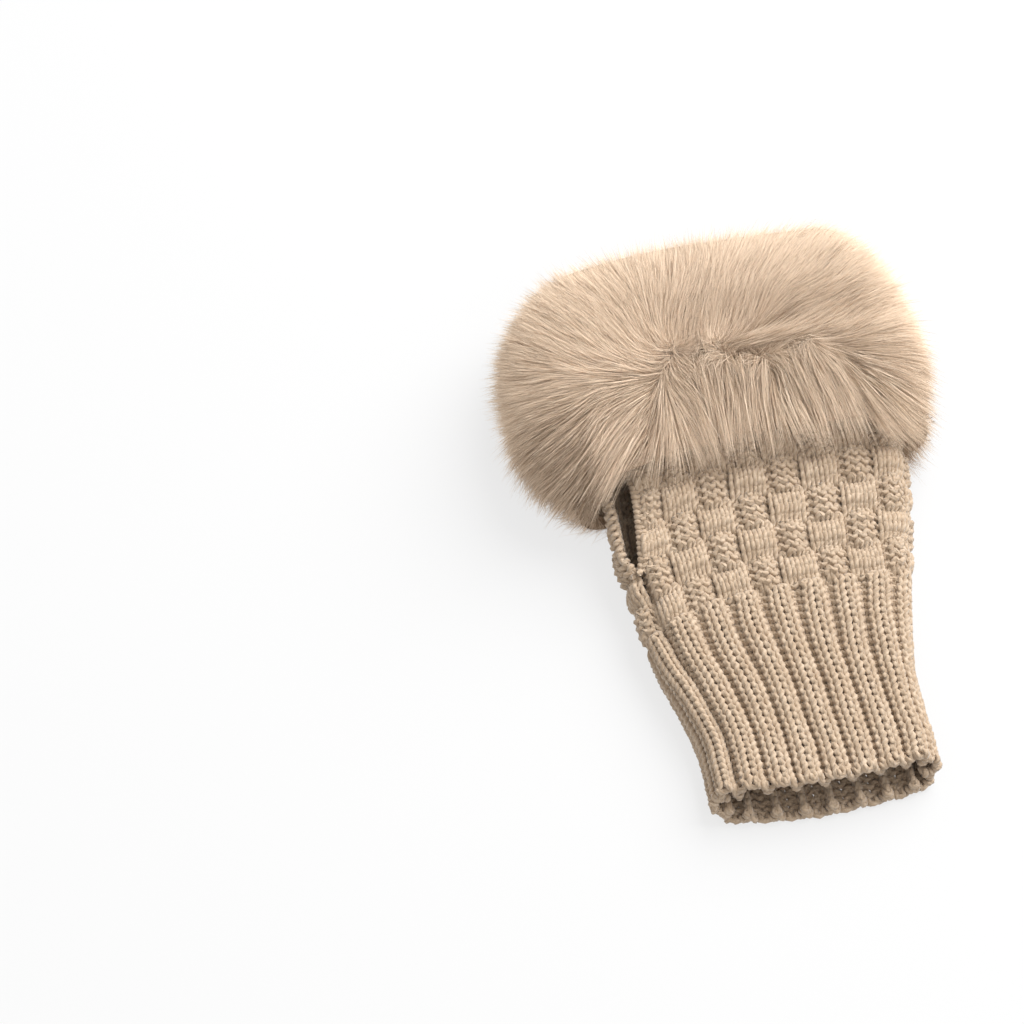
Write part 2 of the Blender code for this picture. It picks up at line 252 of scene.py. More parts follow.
def rib_height(stitch, length):
    """Height of the ribs: from the crest between two plain stitches to the groove by a power of a cosine."""
    turn = 2 * math.pi * (stitch - RIB_MIDDLE) / RIB_STITCHES
    fallen = (1 - np.cos(turn)) / 2
    return RIB_CREST - (RIB_CREST + np.interp(length, RIB_PLACES, RIB_GROOVES)) * fallen ** RIB_POWER


def seam_dip(stitch, length):
    """Depth of the groove where the two edges are sewn together, a bell curve across it.

    There is none along the open slit.
    """
    off = np.minimum(stitch, WALES - stitch) / SEAM_STITCHES
    return SEAM_DEPTH * np.exp(-off ** 2) * (1 - np.clip(slit_gape(length) * SEAM_END, 0, 1))


def loop_depth(kinds, stitch):
    """Height of the yarn's middle along its course, for the kinds of its stitches, 1 plain and -1 purl.

    It is a cosine, two waves to a stitch. The head takes the kind of the stitch above, the legs their own,
    and the foot between two stitches goes over evenly from one kind to the next.
    """
    wale = np.rint(stitch).astype(int)
    aside = stitch - wale
    own = np.take_along_axis(kinds[:-1], wale % WALES, 1)
    above = np.take_along_axis(kinds[1:], wale % WALES, 1)
    beside = np.take_along_axis(kinds[:-1], (wale + np.sign(aside).astype(int)) % WALES, 1)
    over = risen(np.abs(aside), FOOT_START, 0.5 - FOOT_START) / 2
    kind = np.where(np.abs(aside) < HEAD_END, above, own * (1 - over) + beside * over)
    return -kind * LOOP_DEPTH * np.cos(4 * math.pi * stitch)


SPECKLE_VALUES = 4096
SPECKLE_STRIDES = (73, 179, 283)    # primes, so that neighbours on the lattice get values far apart


def speckle(points, size, seed):
    """Smooth noise from -1 to 1: random values on a cubic lattice, evened out between its points."""
    cell = points / size
    low = np.floor(cell).astype(int)
    part = cell - low
    part = part * part * (3 - 2 * part)
    values = np.random.default_rng(seed).uniform(-1, 1, SPECKLE_VALUES)
    total = 0
    for corner in range(8):
        step = np.array([corner & 1, corner >> 1 & 1, corner >> 2 & 1])
        number = ((low + step) * SPECKLE_STRIDES).sum(-1) % SPECKLE_VALUES
        total = total + values[number] * np.prod(np.where(step, part, 1 - part), -1)
    return total


def course_paths(kinds, first_length, course, lean, place_of, height_of):
    """Middle line of the yarn in each course, and the face's normal along it.

    Sideways it leans by a sine with two waves to a stitch, and up and down it swings by a cosine with one.
    Noise of a stitch's size and of a block's keeps the loops from lying all alike.
    """
    courses = len(kinds) - 1
    steps = np.arange(WALES * POINTS_PER_STITCH + 1) / POINTS_PER_STITCH
    stitch = np.broadcast_to(steps, (courses, len(steps)))
    level = first_length + course * (np.arange(courses) + 0.5)[:, None]
    length = level + LOOP_REACH * course * np.cos(2 * math.pi * stitch)
    length = np.minimum(length, RIB_LENGTH + HAND_LENGTH - LAST_LOOP)
    leant = np.clip(stitch + lean * np.sin(4 * math.pi * stitch), 0, WALES)
    place, normal = knit_face(np.clip(place_of(leant, length), 0, WALES), length)
    height = height_of(leant, length) + loop_depth(kinds, stitch) - YARN_INSET - seam_dip(leant, length)
    off = np.stack([speckle(place, UNEVEN_SIZE, small) * UNEVEN + speckle(place, PULLED_SIZE, large) * PULLED
                    for small, large in zip(UNEVEN_SEEDS, PULLED_SEEDS)], -1)
    points = place + normal * height[..., None] + off
    points[..., 2] = np.maximum(points[..., 2], YARN_RADIUS)
    return points, normal


LEAST_LENGTH = 1e-12


def unit(vectors):
    """Vectors divided by their length."""
    return vectors / np.maximum(np.linalg.norm(vectors, axis=-1, keepdims=True), LEAST_LENGTH)


def yarn_tubes(paths, normals, radius, sides):
    """Round tubes along many paths of equal count: points, four-sided faces, capped ends and a map.

    A ring stands square to its path. The map's first number is the distance along the yarn, and its second
    the share of the way round it.
    """
    strands, count = paths.shape[:2]
    tangent = unit(np.gradient(paths, axis=1))
    sideways = unit(np.cross(tangent, normals))
    upright = np.cross(sideways, tangent)
    turn = 2 * math.pi * np.arange(sides) / sides
    ring = np.cos(turn)[:, None] * sideways[:, :, None] + np.sin(turn)[:, None] * upright[:, :, None]
    points = paths[:, :, None] + radius * ring
    strand, step, side = np.meshgrid(np.arange(strands), np.arange(count - 1), np.arange(sides),
                                     indexing="ij")
    first = (strand * count + step) * sides
    next_side = (side + 1) % sides
    quads = np.stack([first + side, first + sides + side, first + sides + next_side, first + next_side], -1)
    quads = quads[..., ::-1]
    stepped = np.linalg.norm(np.diff(paths, axis=1), axis=2)
    distance = np.concatenate([np.zeros((strands, 1)), np.cumsum(stepped, 1)], 1)
    here = distance[:, :-1, None] + 0 * side
    there = distance[:, 1:, None] + 0 * side
    low = side / sides
    high = (side + 1) / sides
    along = np.stack([here, there, there, here], -1)[..., ::-1]
    around = np.stack([low, low, high, high], -1)[..., ::-1]
    chart = np.stack([along, around], -1)
    ends = np.arange(strands)[:, None] * count * sides + np.arange(sides)[None, :]
    caps = np.concatenate([ends, (ends + (count - 1) * sides)[:, ::-1]])
    return points.reshape(-1, 3), quads.reshape(-1, 4), caps, chart.reshape(-1, 2)


def smooth_mesh(name, points, corners, starts, finish):
    """A smooth mesh from its points, all its faces' corners in a row and the number of each face's first."""
    mesh = bpy.data.meshes.new(name)
    mesh.vertices.add(points.size // 3)
    mesh.vertices.foreach_set("co", points.ravel())
    mesh.loops.add(corners.size)
    mesh.loops.foreach_set("vertex_index", corners.ravel())
    mesh.polygons.add(starts.size)
    mesh.polygons.foreach_set("loop_start", starts.ravel())
    mesh.update(calc_edges=True)
    mesh.polygons.foreach_set("use_smooth", np.ones(starts.size, bool))
    mesh.materials.append(finish)
    return mesh


def yarn_piece(name, tubes, finish):
    """A piece from tubes as yarn_tubes gives them, with its map, riding on the glove."""
    points, quads, caps, chart = tubes
    corners = np.concatenate([quads.ravel(), caps.ravel()])
    sizes = np.concatenate([np.full(len(quads), 4), np.full(len(caps), caps.shape[1])])
    mesh = smooth_mesh(name, points, corners, np.concatenate([[0], np.cumsum(sizes)[:-1]]), finish)
    yarn_map = mesh.uv_layers.new(name="yarn")
    yarn_map.data.foreach_set("uv", np.concatenate([chart, np.zeros((caps.size, 2))]).ravel())
    mesh.validate()
    piece = bpy.data.objects.new(name, mesh)
    bpy.context.scene.collection.objects.link(piece)
    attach(piece, "root")
    return piece


def shader_of(name, looks):
    """A new material, its node tree, its links' maker and its main shader, whose sockets get the looks."""
    made = bpy.data.materials.new(name)
    made.use_nodes = True
    tree = made.node_tree
    shader = tree.nodes["Principled BSDF"]
    for socket, value in looks.items():
        shader.inputs[socket].default_value = value
    return made, tree, tree.links.new, shader


def node(tree, kind, **settings):
    """One shader node. A setting goes to the node's own value of that name, or else to its input."""
    added = tree.nodes.new(kind)
    for key, value in settings.items():
        if hasattr(added, key):
            setattr(added, key, value)
        else:
            added.inputs[key].default_value = value
    return added


def worked_out(tree, operation, *terms):
    """What a Math node gives for its terms, each a number or another node's output."""
    added = node(tree, "ShaderNodeMath", operation=operation)
    for socket, term in zip(added.inputs, terms):
        if isinstance(term, float):
            socket.default_value = term
        else:
            tree.links.new(term, socket)
    return added.outputs[0]


def noise_of(tree, scale, detail):
    """Noise over the piece's own coordinates, with so many cells to the metre."""
    grain = node(tree, "ShaderNodeTexNoise", Scale=scale, Detail=detail)
    tree.links.new(node(tree, "ShaderNodeTexCoord").outputs["Object"], grain.inputs["Vector"])
    return grain.outputs["Fac"]


def colour_steps(tree, *steps):
    """A colour ramp through the steps, each a place and a linear colour."""
    ramp = node(tree, "ShaderNodeValToRGB")
    elements = ramp.color_ramp.elements
    while len(elements) < len(steps):
        elements.new(0.5)
    for element, (place, colour) in zip(elements, steps):
        element.position = place
        element.color = (*colour, 1)
    return ramp


YARN_SHADE = (0.410, 0.300, 0.203)
YARN_MIDDLE = (0.452, 0.339, 0.237)
YARN_LIGHT = (0.540, 0.424, 0.313)
PLIES = 3
PLY_LENGTH = 0.0026     # of yarn, for one turn of its plies
PLY_PAINTED_SHADE = 0.13        # how far the plies' sine moves the colour steps: painted shade and light on the twist
PLY_RELIEF = 0.00012
PLY_STRENGTH = 0.8
FIBRE_SCALE = 1400
PATCH_SCALE = 160

soft_yarn, tree, join, shader = shader_of("soft_yarn", {
    "Roughness": 0.9,
    "Specular IOR Level": 0.2,
    "Sheen Weight": 0.25,
    "Sheen Roughness": 0.5,
})
parts = node(tree, "ShaderNodeSeparateXYZ")
join(node(tree, "ShaderNodeUVMap", uv_map="yarn").outputs[0], parts.inputs[0])
turned = worked_out(tree, "MULTIPLY", parts.outputs[0], 2 * math.pi / PLY_LENGTH)
around = worked_out(tree, "MULTIPLY_ADD", parts.outputs[1], 2 * math.pi * PLIES, turned)
ply = worked_out(tree, "SINE", around)
fibre = noise_of(tree, FIBRE_SCALE, 3)
patch = noise_of(tree, PATCH_SCALE, 2)
halved = worked_out(tree, "MULTIPLY", worked_out(tree, "ADD", fibre, patch), 0.5)
ramp = colour_steps(tree, (0.30, YARN_SHADE), (0.50, YARN_MIDDLE), (0.72, YARN_LIGHT))
# Painted shade and light: the plies' sine darkens the colour between plies and lightens it on their crests
join(worked_out(tree, "MULTIPLY_ADD", ply, PLY_PAINTED_SHADE, halved), ramp.inputs[0])
join(ramp.outputs["Color"], shader.inputs["Base Color"])
bump = node(tree, "ShaderNodeBump", Distance=PLY_RELIEF, Strength=PLY_STRENGTH)
join(worked_out(tree, "ADD", ply, fibre), bump.inputs["Height"])
join(bump.outputs["Normal"], shader.inputs["Normal"])

PLAIN_IN_RIB = (2, 3)   # which of the stitches from rib to rib are plain

rib_kinds = np.where(np.isin(np.arange(WALES) % RIB_STITCHES, PLAIN_IN_RIB), 1.0, -1.0)
rib_kinds = rib_kinds * np.ones((RIB_COURSES + 1, 1))
rib_paths, rib_normals = course_paths(rib_kinds, 0.0, RIB_COURSE, RIB_LEAN, rib_place, rib_height)
ribbed_wrist = yarn_piece("ribbed_wrist", yarn_tubes(rib_paths, rib_normals, YARN_RADIUS, YARN_SIDES),
                          soft_yarn)
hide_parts("knit_hand_and_wrist")

# Hand
# The same yarn goes on in blocks of four stitches by four courses, plain and purl like a chessboard, which
# looks like woven strips. The last courses lie under the fur.
HAND_COURSES = 37
DETAILED_COURSES = 26   # the rest lie under the fur, and their tubes have fewer sides
COVERED_SIDES = 4
HAND_COURSE = 0.00285
HAND_LEAN = 0.135
BLOCK = 4
BLOCK_RELIEF = 0.0015
BLOCK_BEVEL = 0.5       # stitches over which a block's edge rises
BLOCK_EDGE = 0.4        # the relief left at the edge, as a share
COVERED_FROM = 0.138    # the length from which fur covers the knitting
COVERED_FADE = 0.01     # the relief dies away over this length before it


def hand_place(stitch, length):
    """The hand's stitches are all of one width, so they stay where they are."""
    return stitch


def hand_height(stitch, length):
    """Height of the blocks: plain ones swell halfway up and purl ones halfway across, by a sine.

    The relief is less at a block's sides and dies away under the fur.
    """
    block_row, up = np.divmod((length - RIB_LENGTH) / (HAND_COURSE * BLOCK), 1)
    block, across = np.divmod((stitch + 0.5) / BLOCK, 1)
    plain = (block + block_row) % 2 == 0
    swell = 2 * np.where(plain, np.sin(math.pi * up), np.sin(math.pi * across)) - 1
    edge = np.minimum(across, 1 - across) * BLOCK
    bevel = np.clip(edge / BLOCK_BEVEL, BLOCK_EDGE, 1)
    return BLOCK_RELIEF * swell * bevel * risen(length, COVERED_FROM, -COVERED_FADE)


rows = np.arange(HAND_COURSES + 1)[:, None] // BLOCK
blocks = np.arange(WALES)[None, :] // BLOCK
hand_kinds = np.where((rows + blocks) % 2 == 0, 1.0, -1.0)
hand_paths, hand_normals = course_paths(hand_kinds, RIB_LENGTH, HAND_COURSE, HAND_LEAN,
                                        hand_place, hand_height)
seen = slice(0, DETAILED_COURSES)
yarn_piece("woven_hand", yarn_tubes(hand_paths[seen], hand_normals[seen], YARN_RADIUS, YARN_SIDES),
           soft_yarn)
covered = slice(DETAILED_COURSES, HAND_COURSES)
yarn_piece("finger_end", yarn_tubes(hand_paths[covered], hand_normals[covered], YARN_RADIUS, COVERED_SIDES),
           soft_yarn)

# Edges
# A round of yarn whipped over the first course makes the wrist's edge. A chain of stitches binds each side of
# the thumb slit. It is made as two coils side by side that turn opposite ways.
EDGE_TURNS = 110
EDGE_RADIUS = 0.0010
EDGE_POINTS = 8         # in each turn
EDGE_YARN = 0.9         # its thickness, as a share of the knitting's yarn
EDGE_LENGTH = 0.0004    # of the knitting that it leaves free
RIM_POINTS = 12         # in each turn
RIM_OVERRUN = 0.001     # how far the chain goes on past the slit's end towards the wrist
RIM_ASIDE = 1.1         # a coil's distance from the chain's middle, in its own radius
# Each side of the slit: its place in stitches, the chain's depth below the face, its turns and the radius of
# its coils
RIMS = (
    ("upper", 0.05, 0.0013, 27, 0.00050),
    ("lower", WALES - 0.6, 0.0006, 17, 0.00090),
)


def whipped(places, normals, turns, radius, aside=0.0):
    """A coil round a middle line: it circles in the plane of the normal and the way across the line.

    The line can lie aside of the places. For turns below 0 it goes round the other way.
    """
    ahead = unit(np.gradient(places, axis=0))
    across = unit(np.cross(ahead, normals))
    outward = np.cross(across, ahead)
    turn = 2 * math.pi * turns * np.linspace(0, 1, len(places))[:, None]
    coil = places + aside * across + radius * (np.cos(turn) * outward + np.sin(turn) * across)
    coil[:, 2] = np.maximum(coil[:, 2], YARN_RADIUS)
    return coil[None], (np.cos(turn) * outward + np.sin(turn) * across)[None]


edge_stitch = np.linspace(0, WALES, EDGE_TURNS * EDGE_POINTS + 1)
edge_length = np.full_like(edge_stitch, EDGE_LENGTH)
edge_line, edge_normal = knit_face(rib_place(edge_stitch, edge_length), edge_length)
edge_line = edge_line + edge_normal * (rib_height(edge_stitch, edge_length) - YARN_INSET
                                       - seam_dip(edge_stitch, edge_length))[:, None]
edge_coil, edge_turned = whipped(edge_line, edge_normal, EDGE_TURNS, EDGE_RADIUS)
yarn_piece("wrist_edge", yarn_tubes(edge_coil, edge_turned, YARN_RADIUS * EDGE_YARN, YARN_SIDES),
           soft_yarn)

for side, stitch, inset, turns, radius in RIMS:
    rim_length = np.linspace(SLIT_MIDDLE - SLIT_LENGTH / 2 - RIM_OVERRUN, SLIT_MIDDLE + SLIT_LENGTH / 2,
                             turns * RIM_POINTS + 1)
    rim_line, rim_normal = knit_face(np.full_like(rim_length, stitch), rim_length)
    rim_line = rim_line - rim_normal * inset
    legs = [whipped(rim_line, rim_normal, turns * way, radius, RIM_ASIDE * radius * way) for way in (-1, 1)]
    rim_coil = np.concatenate([coil for coil, _ in legs])
    rim_turned = np.concatenate([turned for _, turned in legs])
    yarn_piece("slit_rim_" + side, yarn_tubes(rim_coil, rim_turned, YARN_RADIUS, YARN_SIDES),
               soft_yarn)

# Underfur
# The short dense wool of the fur, on a woven strip that is sewn to the finger end. It is one closed swell
# round the glove, and the long hair lies over it.
BACKING_WIDTH = 0.036
PILE_LENGTH = 0.028
PILE_HEIGHT = 0.023
PILE_LEFT = 0.027
PILE_RIGHT = 0.0165
KNIT_LENGTH = RIB_LENGTH + HAND_LENGTH
BACKING_START = KNIT_LENGTH - BACKING_WIDTH
SEAT_GAP = 0.0004       # between the knitting and the strip
HANG_ABOVE = 0.72
HANG_LEFT = 0.80
HANG_RIGHT = 0.72
PRESSED_LEFT = -0.60
PRESSED_RIGHT = 0.90
PRESSED_FADE = 0.30
LEAST_DOWN = 0.1        # a face that looks down less than this is taken to look down so much
# Where across the glove the fur starts to make room for the slit's lip, and over what width
SLIT_SIDE = (-0.3, -0.5)
CUFF_COLUMNS = 260      # places round the cuff
CUFF_STEPS = 7          # places between two rows of its outline
WOOL_DEPTH = 0.0045     # the wool's surface below the tips of the hair
WOOL_STRIDE = 2         # the wool has every second row and place of the outline
WOOL_LOWEST = 0.0003

# The cuff in a cut along the glove, from the strip's wrist edge along the knitting, round the finger edge and
# back over the pile: place along the strip, reach past its edge, rise above the knitting, 1 for the outside,
# and the share of the height that combing down to the wrist takes off
CUFF_OUTLINE = (
    (0.00, 0.00, 0.00, 0, 0.00),
    (0.50, 0.00, 0.00, 0, 0.00),
    (1.00, 0.00, 0.00, 0, 0.00),
    (1.00, 0.50, 0.06, 0, 0.00),
    (1.00, 1.00, 0.16, 0, 0.00),
    (1.00, 0.90, 0.34, 1, 0.00),
    (1.00, 0.62, 0.60, 1, 0.00),
    (1.00, 0.26, 0.84, 1, 0.00),
    (0.90, 0.00, 0.96, 1, 0.00),
    (0.68, 0.00, 1.00, 1, 0.03),
    (0.40, 0.00, 1.00, 1, 0.16),
    (0.18, 0.00, 1.00, 1, 0.08),
    (0.00, 0.12, 0.94, 1, 0.17),
    (0.00, 0.50, 0.79, 1, 0.19),
    (0.00, 0.84, 0.54, 1, 0.11),
    (0.00, 1.00, 0.24, 1, 0.00),
    (0.00, 0.90, 0.04, 0, 0.00),
    (0.00, 0.40, 0.03, 0, 0.00),
)


def cuff_line(share, place, reach, rise, skin, pressed):
    """One line round the cuff for a row of CUFF_OUTLINE, square out from the tube and flat on the table.

    The pile's height goes over from the top's to a side's by the square of the cosine of the direction.
    """
    half_width, half_thick = tube_size(along_of(BACKING_START + place * BACKING_WIDTH))
    middle = PILE_HEIGHT / 2
    around = oval_length(half_width + middle, half_thick + middle)
    direction, fold = flat_oval(share * around, half_width + middle, half_thick + middle)
    fold = fold / (half_width - half_thick)
    side = np.cos(direction) ** 2
    left = np.cos(direction) < 0
    if place < 1:
        hang = HANG_ABOVE * (1 - side) + np.where(left, HANG_LEFT, HANG_RIGHT) * side
        past = -reach * hang * PILE_LENGTH
    else:
        past = reach * PILE_LENGTH
    length = BACKING_START + place * BACKING_WIDTH + past
    half_width, half_thick = tube_size(along_of(length))
    base, normal, across = tube_point(direction, fold * (half_width - half_thick), length)
    pile = PILE_HEIGHT * (1 - side) + np.where(left, PILE_LEFT, PILE_RIGHT) * side
    if skin:
        shallow = np.clip((across - PRESSED_LEFT) / PRESSED_FADE + 0.5, 0, 1)
        shallow = shallow * np.clip((PRESSED_RIGHT - across) / PRESSED_FADE + 0.5, 0, 1)
        height = (rise - pressed * shallow * np.clip(np.sin(direction), 0, 1)) * pile
    else:
        room = base[:, 2] / np.maximum(-normal[:, 2], LEAST_DOWN)
        height = SEAT_GAP + rise * np.minimum(pile, room)
        if place < 1:
            near_slit = risen(across, *SLIT_SIDE)
            height = height + np.sign(reach) * (BLOCK_RELIEF + SLIT_LIP * slit_gape(length) * near_slit)
    points = base + normal * height[:, None]
    points[:, 2] = np.maximum(points[:, 2], 0)
    return points


def rounded_rows(rows, steps):
    """Rows of points with more between them, on a closed cubic through each row with its mean slope."""
    slope = (np.roll(rows, -1, 0) - np.roll(rows, 1, 0)) / 2
    part = (np.arange(steps) / steps)[None, :, None, None]
    here = rows[:, None]
    there = np.roll(rows, -1, 0)[:, None]
    made = ((1 + 2 * part) * (1 - part) ** 2 * here + part * (1 - part) ** 2 * slope[:, None]
            + part * part * (3 - 2 * part) * there
            + part * part * (part - 1) * np.roll(slope, -1, 0)[:, None])
    return made.reshape(-1, *rows.shape[1:])


def grid_slopes(grid):
    """Slopes of a doubly closed grid of points down its rows and along them: half the step over a point."""
    return [(np.roll(grid, -1, way) - np.roll(grid, 1, way)) / 2 for way in (0, 1)]


cuff_share = np.arange(CUFF_COLUMNS) / CUFF_COLUMNS
cuff = rounded_rows(np.array([cuff_line(cuff_share, *row) for row in CUFF_OUTLINE]), CUFF_STEPS)
CUFF_ROWS = len(cuff)
down_rows, along_rows = grid_slopes(cuff)
cuff_normal = unit(np.cross(along_rows, down_rows))
if np.mean((cuff_normal * (cuff - cuff.mean((0, 1)))).sum(-1)) < 0:
    cuff_normal = -cuff_normal

# Hair grows from the finger edge round to the fringe, and further at the sides. The wool is sunk below the
# outline there. Each pair is a start and a width, in rows of CUFF_OUTLINE, or in metres across for SIDES.
HAIR_FROM = (2.2, 0.8)
HAIR_TO = (14.3, -0.5)
SIDE_HAIR = 2.2         # rows more
SIDES = (0.042, 0.010)
SUNK_TO = (17.0, -0.8)
cuff_row = np.arange(CUFF_ROWS) / CUFF_STEPS
last_haired = HAIR_TO[0] + SIDE_HAIR * risen(np.abs(cuff[..., 0]), *SIDES)
started = risen(cuff_row, *HAIR_FROM)
haired = started[:, None] * risen(cuff_row[:, None], last_haired, HAIR_TO[1])
sunk = started * risen(cuff_row, *SUNK_TO)

# The pile's two lower corners: the place, and how much flatter it lies there than in the solid
CORNERS = (((-0.0624, 0.0102, 0.016), 0.0045), ((0.0710, 0.0223, 0.018), 0.0038))
CORNER_REACH = 0.018
for corner, pull in CORNERS:
    near = np.exp(-(((cuff - np.array(corner)) / CORNER_REACH) ** 2).sum(-1)) * haired
    cuff = cuff - cuff_normal * (pull * near)[..., None]
cuff[..., 2] = np.maximum(cuff[..., 2], 0)

HAIR_ROOT = (0.21, 0.135, 0.082)
HAIR_MIDDLE = (0.425, 0.30, 0.20)
HAIR_TIP = (0.83, 0.665, 0.505)

soft_fur, tree, join, shader = shader_of("soft_fur", {
    "Roughness": 0.7,
    "Specular IOR Level": 0.25,
    "Sheen Weight": 0.2,
    "Sheen Roughness": 0.4,
})
along_hair = node(tree, "ShaderNodeAttribute", attribute_name="along_hair").outputs["Fac"]
# The second attribute holds each hair's random tone with painted shade and painted light added
tone_and_painted_light = node(tree, "ShaderNodeAttribute", attribute_name="hair_tone_and_painted_light").outputs["Fac"]
ramp = colour_steps(tree, (0.0, HAIR_ROOT), (0.50, HAIR_MIDDLE), (1.0, HAIR_TIP))
join(worked_out(tree, "ADD", along_hair, tone_and_painted_light), ramp.inputs[0])
join(ramp.outputs["Color"], shader.inputs["Base Color"])

WOOL_SHADE = (0.28, 0.19, 0.12)
WOOL_LIGHT = (0.48, 0.34, 0.23)
WOOL_SCALE = 700
WOOL_RELIEF = 0.0006

underwool, tree, join, shader = shader_of("underwool", {"Roughness": 0.95})
wool = noise_of(tree, WOOL_SCALE, 4)
ramp = colour_steps(tree, (0.3, WOOL_SHADE), (0.7, WOOL_LIGHT))
join(wool, ramp.inputs[0])
join(ramp.outputs["Color"], shader.inputs["Base Color"])
bump = node(tree, "ShaderNodeBump", Distance=WOOL_RELIEF)
join(wool, bump.inputs["Height"])
join(bump.outputs["Normal"], shader.inputs["Normal"])

wool_points = (cuff - cuff_normal * (WOOL_DEPTH * sunk)[:, None, None])[::WOOL_STRIDE, ::WOOL_STRIDE]
wool_points[..., 2] = np.maximum(wool_points[..., 2], WOOL_LOWEST)
wool_normal = cuff_normal[::WOOL_STRIDE, ::WOOL_STRIDE].reshape(-1, 3)
wool_rows, wool_columns = wool_points.shape[:2]
row, column = np.meshgrid(np.arange(wool_rows), np.arange(wool_columns), indexing="ij")
next_row = (row + 1) % wool_rows
next_column = (column + 1) % wool_columns
wool_faces = np.stack([row * wool_columns + column, row * wool_columns + next_column,
                       next_row * wool_columns + next_column, next_row * wool_columns + column], -1)
wool_faces = wool_faces.reshape(-1, 4)
first, second, third = (wool_points.reshape(-1, 3)[wool_faces[:, corner]] for corner in (0, 1, 2))
facing = (np.cross(second - first, third - second) * wool_normal[wool_faces[:, 0]]).sum()
if facing < 0:
    wool_faces = wool_faces[:, ::-1]
wool_mesh = bpy.data.meshes.new("underfur")
wool_mesh.from_pydata(wool_points.reshape(-1, 3).tolist(), [], wool_faces.tolist())
wool_mesh.polygons.foreach_set("use_smooth", np.ones(len(wool_faces), bool))
wool_mesh.materials.append(underwool)
underfur = bpy.data.objects.new("underfur", wool_mesh)
bpy.context.scene.collection.objects.link(underfur)
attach(underfur, "root")
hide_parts("fur_cuff")

# Long hair
# Soft hair, parted along the top and combed outwards to all sides, in locks that come together at their
# tips. It hangs over the knitting and stands round the mouth of the glove.
HAIRS = 35000           # in each of the three pieces
HAIR_LENGTH = 0.020
HAIR_WIDTH = 0.00025
TUFT_ROWS = 110
TUFT_COLUMNS = 290
TUFT_ROOM = (0.1, 0.9)  # where in its cell a tuft may stand
TUFT_SEED = 11
PARTING = np.array([(-0.0287, 0.0411, 0.037), (-0.0245, 0.0425, 0.038), (-0.0162, 0.0479, 0.040),
                    (-0.0009, 0.0458, 0.040), (0.0127, 0.0436, 0.040), (0.0292, 0.0464, 0.040),
                    (0.0377, 0.0477, 0.038)])
# Where the hair above the parting fans out from, and the creases between locks, across and along the glove
FAN = np.array([0.0035, 0.0455, 0.040])
CREASES = (
    ((0.0035, 0.0462), (0.0127, 0.0440), (0.0292, 0.0468), (0.0377, 0.0480)),
    ((0.0035, 0.0470), (0.0090, 0.0515), (0.0185, 0.0550), (0.0290, 0.0575)),
    ((-0.0245, 0.0400), (-0.0290, 0.0290), (-0.0330, 0.0190)),
    ((0.0035, 0.0470), (0.0115, 0.0400), (0.0160, 0.0330)),
    ((0.0360, 0.0470), (0.0420, 0.0380), (0.0450, 0.0300)),
)
CREASE_WIDTH = 0.0022
CREASE_DEPTH = 0.0022
CREASE_FACING = 0.3     # only places that look up more than this are creased
FAN_SHARE = 0.3         # how much the hair at the parting itself fans out
FAN_FADE = 0.004
# How the combing sways: turn, size and seed of each noise
SWAYS = ((0.34, 0.016, 3), (0.20, 0.006, 4))
LEAST_FAR = 1e-6
FAR_OFF = 1e9


def away_from_line(points, line):
    """The way off a line through a few places, and the distance to it.

    Each leg of the line pushes with the fourth power of its nearness, so the way is even where legs meet.
    """
    nearest = np.full(points.shape[:-1], FAR_OFF)
    total = np.zeros_like(points)
    for start, end in zip(line[:-1], line[1:]):
        step = end - start
        share = np.clip(((points - start) * step).sum(-1) / (step * step).sum(), 0, 1)[..., None]
        off = points - start - share * step
        far = np.maximum(np.linalg.norm(off, axis=-1, keepdims=True), LEAST_FAR)
        total += off / far ** 5
        nearest = np.minimum(nearest, far[..., 0])
    return unit(total), nearest


def picked(grid, row, column):
    """Values of a doubly closed grid between its points, mixed by nearness from the four round each place."""
    low_row = np.floor(row).astype(int)
    low_column = np.floor(column).astype(int)
    down = (row - low_row)[:, None]
    across = (column - low_column)[:, None]
    low_row = low_row % CUFF_ROWS
    low_column = low_column % CUFF_COLUMNS
    next_row = (low_row + 1) % CUFF_ROWS
    next_column = (low_column + 1) % CUFF_COLUMNS
    return ((1 - down) * (1 - across) * grid[low_row, low_column]
            + (1 - down) * across * grid[low_row, next_column]
            + down * (1 - across) * grid[next_row, low_column]
            + down * across * grid[next_row, next_column])


# The way the hair is combed at each point of the cuff: off the parting, fanned above it, swayed by noise
from_parting, parting_far = away_from_line(cuff, PARTING)
from_fan, fan_far = away_from_line(cuff, np.array([*PARTING[:4], FAN]))
creased = np.zeros((CUFF_ROWS, CUFF_COLUMNS))
for crease in CREASES:
    _, far_off = away_from_line(cuff[..., :2], np.array(crease))
    depth = np.exp(-(far_off / CREASE_WIDTH) ** 2) * (cuff_normal[..., 2] > CREASE_FACING)
    creased = np.maximum(creased, depth)
above = cuff[..., 1] - np.interp(cuff[..., 0], PARTING[:, 0], PARTING[:, 1])
above = np.clip(above / FAN_FADE + FAN_SHARE, 0, 1)
parting_far = parting_far * (1 - above) + fan_far * above
combed = from_parting * (1 - above)[..., None] + from_fan * above[..., None]
combed = unit(combed - cuff_normal * (combed * cuff_normal).sum(-1, keepdims=True))
turned = sum(turn * speckle(cuff, size, seed) for turn, size, seed in SWAYS)
combed = combed * np.cos(turned)[..., None] + np.cross(cuff_normal, combed) * np.sin(turned)[..., None]
# The same way in rows and columns for each metre, by solving for the two slopes that add up to it
LEAST_AREA = 1e-18
down_square = (down_rows ** 2).sum(-1)
along_square = (along_rows ** 2).sum(-1)
skew = (down_rows * along_rows).sum(-1)
comb_down = (combed * down_rows).sum(-1)
comb_along = (combed * along_rows).sum(-1)
area = np.maximum(down_square * along_square - skew * skew, LEAST_AREA)
flow = np.stack([(comb_down * along_square - comb_along * skew) / area,
                 (comb_along * down_square - comb_down * skew) / area], -1)
ground = np.linalg.norm(np.cross(along_rows, down_rows), axis=-1) * haired


